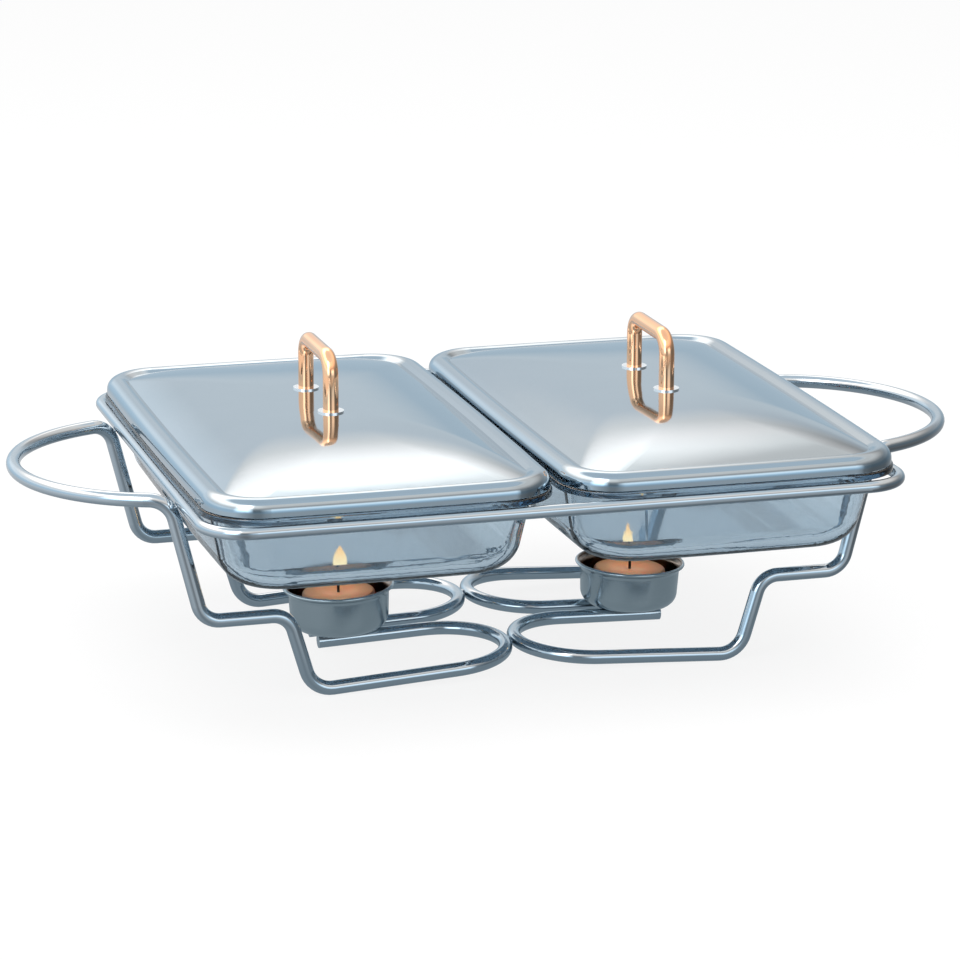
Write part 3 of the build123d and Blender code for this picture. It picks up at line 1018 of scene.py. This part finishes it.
@dataclass
class LightTent:
    """A light tent that only reflections see: walls, bright openings, a pale roof and the shaded table."""

    radius: float = 4.0
    rows: int = 60
    count: int = 72
    rise_stops: tuple[tuple[float, Colour], ...] = (
        (-90.0, (0.36, 0.38, 0.4)),
        (-45.0, (0.44, 0.46, 0.48)),
        (-25.0, (0.52, 0.54, 0.56)),
        (-12.0, (0.64, 0.66, 0.68)),
        (0.0, (0.55, 0.68, 0.78)),
        (8.0, (0.6, 0.73, 0.83)),
        (14.0, (0.9, 0.96, 1.0)),
        (22.0, (0.97, 1.0, 1.03)),
        (28.0, (1.42, 1.31, 1.23)),
        (35.0, (2.35, 2.06, 1.89)),
        (42.5, (3.08, 2.74, 2.5)),
        (52.0, (3.08, 2.74, 2.5)),
        (60.0, (0.98, 1.05, 1.11)),
        (90.0, (0.88, 0.95, 1.01)),
    )
    bands: tuple[tuple[float, tuple[tuple[float, float], ...]], ...] = (
        (-90.0, (
            (-180.0, 1.5), (-150.0, 1.5), (-136.0, 1.15), (-120.0, 0.8), (-112.0, 0.6), (-102.0, 0.6),
            (-94.0, 0.8), (-84.0, 1.05), (-58.0, 1.05), (-48.0, 0.45), (-30.0, 0.3), (10.0, 0.32),
            (40.0, 0.6), (60.0, 0.92), (90.0, 1.0), (104.0, 1.2), (118.0, 1.2), (150.0, 1.4), (180.0, 1.5),
        )),
        (-4.0, (
            (-180.0, 1.5), (-154.0, 1.4), (-143.0, 3.4), (-126.0, 3.4), (-115.0, 0.4), (-102.0, 0.4),
            (-94.0, 0.9), (-84.0, 1.9), (-58.0, 1.9), (-48.0, 0.45), (-30.0, 0.3), (10.0, 0.32),
            (40.0, 0.6), (60.0, 0.92), (90.0, 1.0), (102.0, 1.36), (122.0, 1.36), (150.0, 1.4),
            (180.0, 1.5),
        )),
        (18.0, (
            (-180.0, 1.0), (-154.0, 0.95), (-143.0, 2.4), (-126.0, 2.4), (-115.0, 0.6), (-102.0, 0.55),
            (-88.0, 0.45), (-58.0, 0.45), (-40.0, 0.4), (20.0, 0.42), (56.0, 0.42), (69.0, 1.0),
            (90.0, 1.0), (102.0, 1.2), (122.0, 1.2), (150.0, 1.0), (180.0, 1.0),
        )),
        (52.0, ((-180.0, 1.0), (180.0, 1.0))),
    )
    fade: float = 10.0
    shade_half: tuple[float, float] = (0.36, 0.26)
    shade_lift: float = 0.3 * MM
    shade_colour: Colour = (0.3, 0.36, 0.4)
    shade_stops: tuple[tuple[float, float], ...] = ((0.0, 1.0), (0.5, 0.85), (0.75, 0.4), (1.0, 0.0))

    def build(self) -> list[bpy.types.Object]:
        """Makes the tent and the shaded table under the object.

        Returns:
            The two pieces, hidden from everything but reflections.
        """
        profile = []
        for row in range(1, self.rows):
            angle = math.pi * (row / self.rows - 0.5)
            profile.append((self.radius * math.cos(angle), self.radius * math.sin(angle)))
        tent = MeshShop.turned("light_tent", Vector((0, 0, 0)), Vector((0, 0, 1)), profile, self.count)
        tent.data.materials.append(self.cloth())
        shade = MeshShop.sheet("table_shade", *self.shade_half)
        shade.data.materials.append(self.shade())
        shade.location.z = self.shade_lift
        for piece in (tent, shade):
            piece.visible_camera = False
            piece.visible_diffuse = False
            piece.visible_shadow = False
            piece.visible_transmission = False
        return [tent, shade]

    def cloth(self) -> bpy.types.Material:
        """The tent's glowing cloth, shaded by its rise, and by its heading in bands of rise.

        Returns:
            The material.
        """
        cloth, bench = bare_material("tent_cloth")
        place = bench.add("ShaderNodeTexCoord").outputs["Object"]
        height = bench.add("ShaderNodeSeparateXYZ", {0: place}).outputs["Z"]
        rise = bench.math("DEGREES", bench.math("ARCSINE", bench.math("DIVIDE", height, self.radius)))
        heights = [((degrees + QUARTER_TURN) / HALF_TURN, colour) for degrees, colour in self.rise_stops]
        sky = self.ramp(bench, bench.share(rise, -QUARTER_TURN, QUARTER_TURN), heights)
        turn = bench.add("ShaderNodeTexGradient", {"Vector": place}, gradient_type="RADIAL").outputs[1]
        level: object = 1.0
        for bottom, stops in self.bands:
            headings = [((degrees + HALF_TURN) / FULL_TURN, (grey,) * 3) for degrees, grey in stops]
            change = bench.math("SUBTRACT", self.ramp(bench, turn, headings), level)
            share = bench.share(rise, bottom, bottom + self.fade)
            level = bench.math("MULTIPLY_ADD", share, change, level)
        bench.surface(bench.add("ShaderNodeEmission", {"Color": sky, "Strength": level}))
        return cloth

    def shade(self) -> bpy.types.Material:
        """The table in the object's own shade, which clears outwards.

        Returns:
            The material.
        """
        shade, bench = bare_material("table_shade")
        place = bench.add("ShaderNodeTexCoord").outputs["Object"]
        wide, deep = self.shade_half
        scaled = bench.vector("MULTIPLY", place, (1 / wide, 1 / deep, 1.0))
        reach = bench.vector("LENGTH", scaled.outputs[0]).outputs["Value"]
        share = self.ramp(bench, reach, [(stop, (grey,) * 3) for stop, grey in self.shade_stops])
        clear = bench.add("ShaderNodeBsdfTransparent")
        glow = bench.add("ShaderNodeEmission", {"Color": opaque(self.shade_colour), "Strength": 1.0})
        bench.surface(bench.add("ShaderNodeMixShader", {0: share, 1: clear.outputs[0], 2: glow.outputs[0]}))
        return shade

    @staticmethod
    def ramp(
        bench: NodeBench, share: bpy.types.NodeSocket, stops: Sequence[tuple[float, Colour]]
    ) -> bpy.types.NodeSocket:
        """A colour that runs through stops.

        Args:
            bench: The bench of the material's tree.
            share: The output that picks the place between the stops, from 0 to 1.
            stops: Places and colours in rising order.

        Returns:
            The colour's output.
        """
        node = bench.add("ShaderNodeValToRGB", {0: share})
        elements = node.color_ramp.elements
        while len(elements) > 1:
            elements.remove(elements[-1])
        elements[0].position, elements[0].color = stops[0][0], opaque(stops[0][1])
        for place, colour in stops[1:]:
            elements.new(place).color = opaque(colour)
        return node.outputs[0]


@dataclass
class Studio:
    """The white floor and surroundings, the soft boxes, the light tent and the camera."""

    ambient: float = 0.7
    floor_half: float = 6.0
    floor_white: Colour = (0.93, 0.93, 0.93)
    floor_glow: float = 0.86
    floor_rough: float = 0.6
    lens: float = 143.543
    sensor: float = 36.0
    camera_place: Point = (-0.53081, -1.7953, 0.58557)
    heading: float = 16.38
    pitch: float = 15.081
    roll: float = 0.179
    top_light_place: Point = (0.1, 0.1, 1.9)
    top_light_size: tuple[float, float] = (2.6, 1.6)
    top_light_power: float = 30.0
    side_light_place: Point = (-1.9, -1.1, 1.5)
    side_light_size: tuple[float, float] = (1.1, 1.4)
    side_light_power: float = 22.0

    def build(self) -> None:
        """Sets up the surroundings, the light and the camera."""
        bpy.context.scene.view_settings.view_transform = "Standard"
        self.world()
        self.floor()
        self.lamp("top_soft_box", self.top_light_place, self.top_light_size, self.top_light_power)
        self.lamp("side_soft_box", self.side_light_place, self.side_light_size, self.side_light_power)
        for piece in LightTent().build():
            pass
        self.camera()

    @staticmethod
    def seen(bench: NodeBench) -> bpy.types.NodeSocket:
        """Finds what the camera sees, straight or by way of metal or glass.

        Args:
            bench: The bench of the tree that asks.

        Returns:
            One where the camera sees the surface, and zero elsewhere.
        """
        path = bench.add("ShaderNodeLightPath")
        mirrored = bench.math("MAXIMUM", path.outputs["Is Camera Ray"], path.outputs["Is Glossy Ray"])
        return bench.math("MAXIMUM", mirrored, path.outputs["Is Transmission Ray"])

    def world(self) -> None:
        """Makes the white surroundings, weaker where they only light the object."""
        world = bpy.data.worlds.new("white_studio")
        world.use_nodes = True
        bpy.context.scene.world = world
        bench = NodeBench(world.node_tree)
        white = world.node_tree.nodes["Background"]
        white.inputs["Color"].default_value = opaque(WHITE)
        bench.link(bench.between(self.seen(bench), self.ambient, 1.0), white.inputs["Strength"])

    def floor(self) -> None:
        """Makes the white floor, which keeps the object's shadow and which reflections don't see."""
        floor = MeshShop.sheet("studio_floor", self.floor_half, self.floor_half)
        paint, bench = bare_material("white_floor")
        shader = paint.node_tree.nodes["Principled BSDF"]
        shader.inputs["Base Color"].default_value = opaque(self.floor_white)
        shader.inputs["Roughness"].default_value = self.floor_rough
        shader.inputs["Specular IOR Level"].default_value = 0.0
        glow = bench.add("ShaderNodeEmission", {"Color": opaque(WHITE), "Strength": 1.0})
        share = bench.math("MULTIPLY", self.seen(bench), self.floor_glow)
        both = bench.add("ShaderNodeMixShader", {0: share, 1: shader.outputs[0], 2: glow.outputs[0]})
        bench.surface(both)
        floor.data.materials.append(paint)
        floor.visible_glossy = False

    def lamp(self, name: str, place: Point, size: tuple[float, float], power: float) -> None:
        """Hangs a soft box that points at the object.

        Args:
            name: The soft box's name.
            place: Its middle.
            size: Its width and depth.
            power: Its power in watts.
        """
        light = bpy.data.lights.new(name, "AREA")
        light.shape = "RECTANGLE"
        light.size, light.size_y = size
        light.energy = power
        lamp = bpy.data.objects.new(name, light)
        bpy.context.scene.collection.objects.link(lamp)
        lamp.location = place
        lamp.visible_glossy = False
        lamp.rotation_euler = (-Vector(place)).to_track_quat("-Z", "Y").to_euler()

    def camera(self) -> None:
        """Sets up the camera at the photograph's angle."""
        camera = bpy.data.objects.new("camera", bpy.data.cameras.new("camera"))
        bpy.context.scene.collection.objects.link(camera)
        camera.data.lens = self.lens
        camera.data.sensor_width = self.sensor
        turn = Matrix.Rotation(math.radians(-self.heading), 4, "Z")
        turn = turn @ Matrix.Rotation(math.radians(QUARTER_TURN - self.pitch), 4, "X")
        turn = turn @ Matrix.Rotation(math.radians(self.roll), 4, "Z")
        camera.matrix_world = Matrix.Translation(self.camera_place) @ turn
        bpy.context.scene.camera = camera


def report(title: str, pieces: Sequence[str]) -> None:
    """Logs each piece of a sub-assembly."""
    for piece in pieces:
        LOG.info("%s: %s", title, piece)


def main() -> None:
    """Builds and dresses the sub-assemblies, then the studio."""
    logging.basicConfig(level=logging.INFO, format="%(message)s")
    stand = Stand()
    beads = stand.build()
    stand.dress(beads)
    report("stand", [bead.name for bead in beads])
    for end in End:
        Dish(end).dress()
        report("dish", [end.named("dish")])
        Lid(end).dress()
        report("lid", [end.named("lid_shell")])
        candle = Candle(end)
        pieces = candle.build()
        candle.dress(pieces)
        report("candle", [piece.name for piece in pieces])
    Studio().build()


if __name__ == "__main__":
    main()
